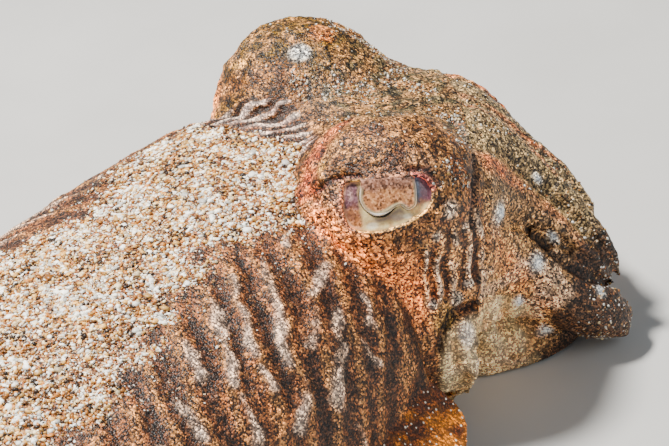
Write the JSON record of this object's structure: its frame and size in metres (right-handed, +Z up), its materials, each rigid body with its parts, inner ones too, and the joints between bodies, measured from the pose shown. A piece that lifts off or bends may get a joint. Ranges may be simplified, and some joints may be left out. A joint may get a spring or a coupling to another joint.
{
  "type": "common cuttlefish",
  "caption": "Life-size common cuttlefish resting on its belly, head turned to its right, bunched arms drooping to the floor, rippled fins along a sand-dusted, zebra-striped mantle.",
  "frame": {"origin": "on the floor, under the middle of the part's bounding box", "axes": "-Y is forward along the mantle, +X is the animal's left, +Z is up"},
  "size_m": [0.1374, 0.2684, 0.068],
  "materials": {
    "mantle_skin": "moist skin, zebra-striped on the flanks and dusted with sand on the back",
    "head_skin": "moist speckled skin, orange on the cheeks",
    "arm_skin": "moist speckled skin with reddish bands and pale spots",
    "fin_skin": "thin moist amber skin with white dots",
    "eye_surface": "wet, glossy",
    "funnel_skin": "smooth moist skin"
  },
  "bodies": {
    "root": {"mantle": "mantle_skin", "head": "head_skin", "eye_left": "eye_surface", "eye_right": "eye_surface", "arm_left_1_base": "arm_skin", "arm_left_1_tip": "arm_skin", "arm_left_2_base": "arm_skin", "arm_left_2_tip": "arm_skin", "arm_left_3_base": "arm_skin", "arm_left_3_tip": "arm_skin", "arm_left_4_base": "arm_skin", "arm_left_4_tip": "arm_skin", "arm_right_1_base": "arm_skin", "arm_right_1_tip": "arm_skin", "arm_right_2_base": "arm_skin", "arm_right_2_tip": "arm_skin", "arm_right_3_base": "arm_skin", "arm_right_3_tip": "arm_skin", "arm_right_4_base": "arm_skin", "arm_right_4_tip": "arm_skin", "fin_left": "fin_skin", "fin_right": "fin_skin", "funnel": "funnel_skin"}
  },
  "joints": []
}
